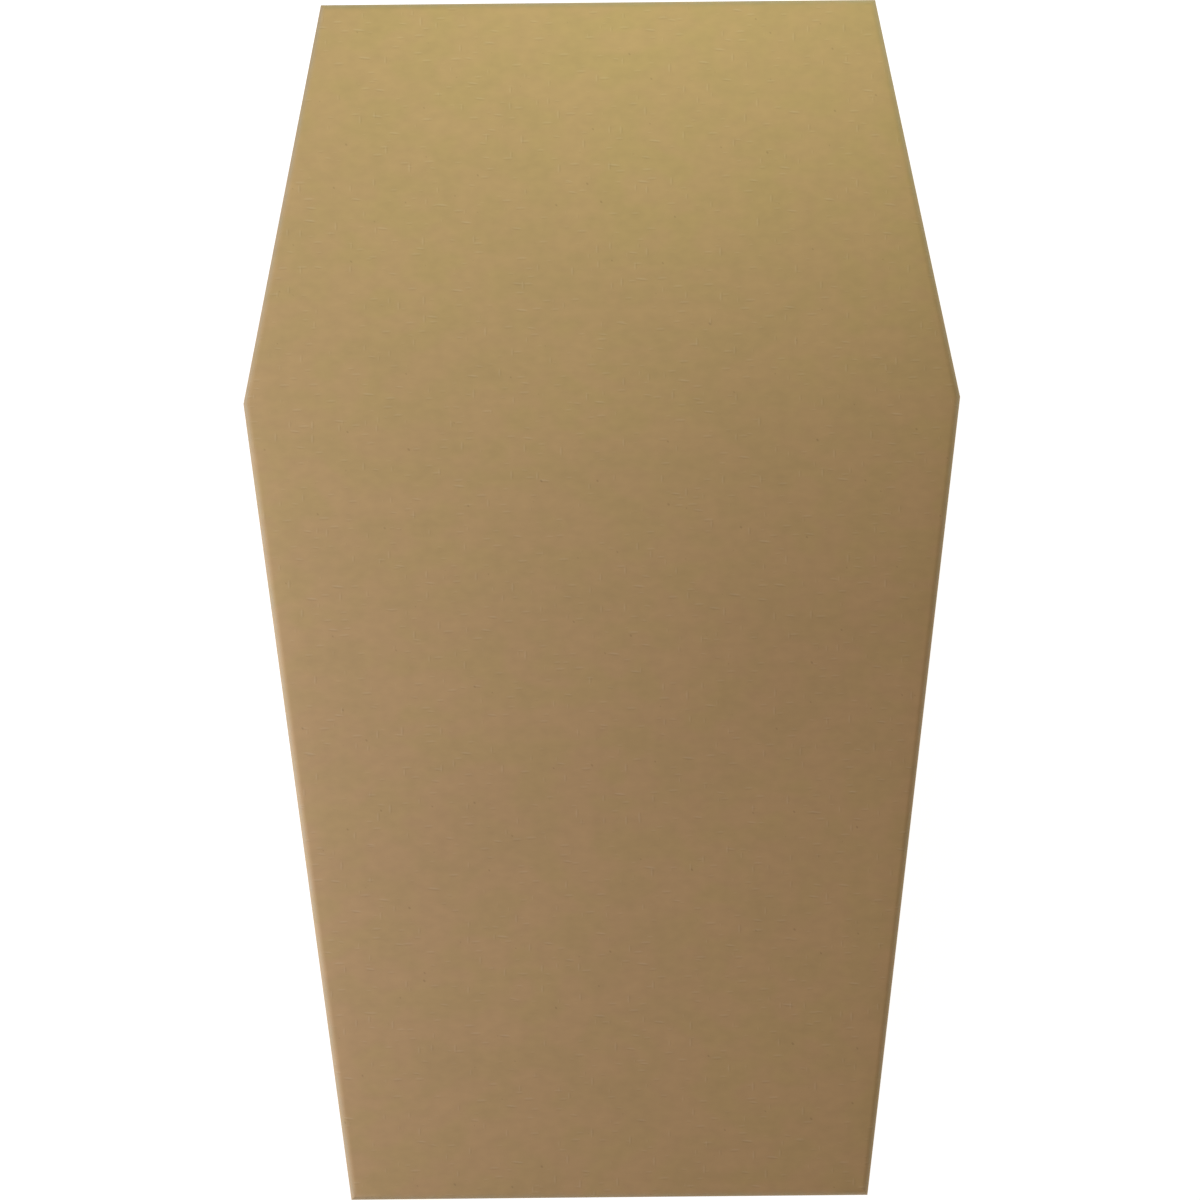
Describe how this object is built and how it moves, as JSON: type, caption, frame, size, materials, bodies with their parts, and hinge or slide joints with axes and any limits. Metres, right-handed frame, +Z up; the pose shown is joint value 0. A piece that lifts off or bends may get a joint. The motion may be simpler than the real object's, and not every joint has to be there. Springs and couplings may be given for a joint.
{
  "type": "cardboard pet coffin",
  "caption": "Hexagonal corrugated cardboard pet coffin, widest at the shoulders, with a plain flat lift-off lid whose shallow rim fits down over a deeper folded tray.",
  "frame": {"origin": "on the ground under the middle of the closed coffin, at the bottom centre of its box", "axes": "+X across the width, +Y along the length towards the head end, +Z up out of the lid's top panel"},
  "size_m": [0.3, 0.5, 0.1633],
  "materials": {
    "lid_board": "matte kraft liner",
    "base_board": "matte kraft liner"
  },
  "bodies": {
    "root": {"base": "base_board", "lid": "lid_board"}
  },
  "joints": []
}
